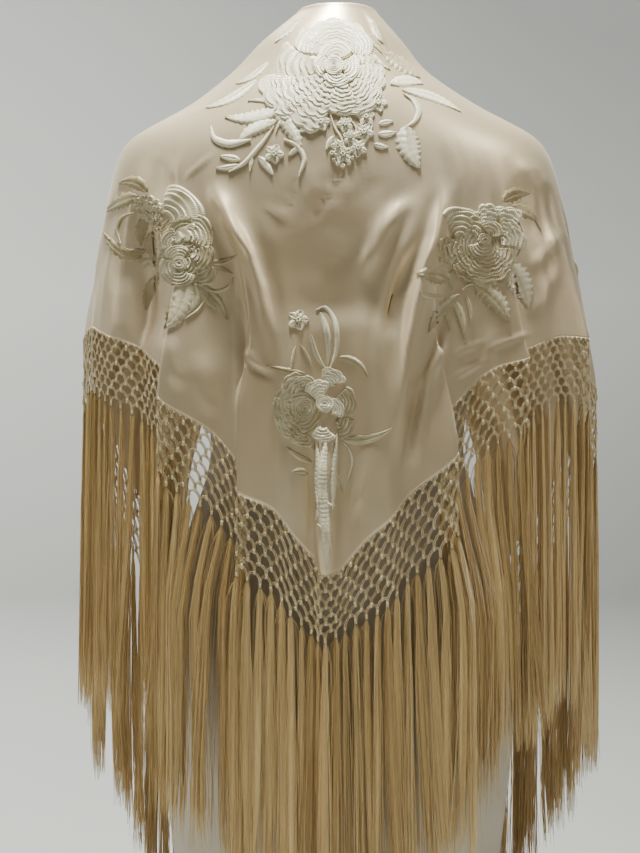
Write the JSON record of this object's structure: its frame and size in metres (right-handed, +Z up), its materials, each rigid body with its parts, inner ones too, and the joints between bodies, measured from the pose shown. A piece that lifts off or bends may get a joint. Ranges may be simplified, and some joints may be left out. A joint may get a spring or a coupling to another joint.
{
  "type": "embroidered fringed shawl on a dress form",
  "caption": "Triangular silk shawl with raised floral embroidery, a knotted net edge and a long fringe, draped open over the shoulders of a limbless dress form",
  "frame": {"origin": "Centre of the dress form's flat bottom face, on the surface it stands on", "axes": "+Z up, +X the wearer's right, +Y the wearer's front; the shawl's point hangs at the back, toward -Y"},
  "size_m": [0.5179, 0.2923, 0.9285],
  "materials": {
    "silk": "ivory silk satin with a soft sheen",
    "embroidery": "raised silk satin stitch",
    "net": "knotted silk cord",
    "fringe": "loose silk strands",
    "form": "smooth satin white"
  },
  "bodies": {
    "root": {"dress_form": "form", "shawl_back": "silk", "shawl_left_drape": "silk", "shawl_right_drape": "silk", "shawl_left_front": "silk", "shawl_right_front": "silk", "net_back": "net", "net_left_drape": "net", "net_right_drape": "net", "net_left_front": "net", "net_right_front": "net", "fringe_back_1": "fringe", "fringe_back_2": "fringe", "fringe_back_3": "fringe", "fringe_back_4": "fringe", "fringe_left_drape": "fringe", "fringe_right_drape": "fringe", "fringe_left_front": "fringe", "fringe_right_front": "fringe", "peony_neck": "embroidery", "peony_left": "embroidery", "peony_right": "embroidery", "peony_tip": "embroidery", "peony_left_front": "embroidery", "peony_right_front": "embroidery"}
  },
  "joints": []
}
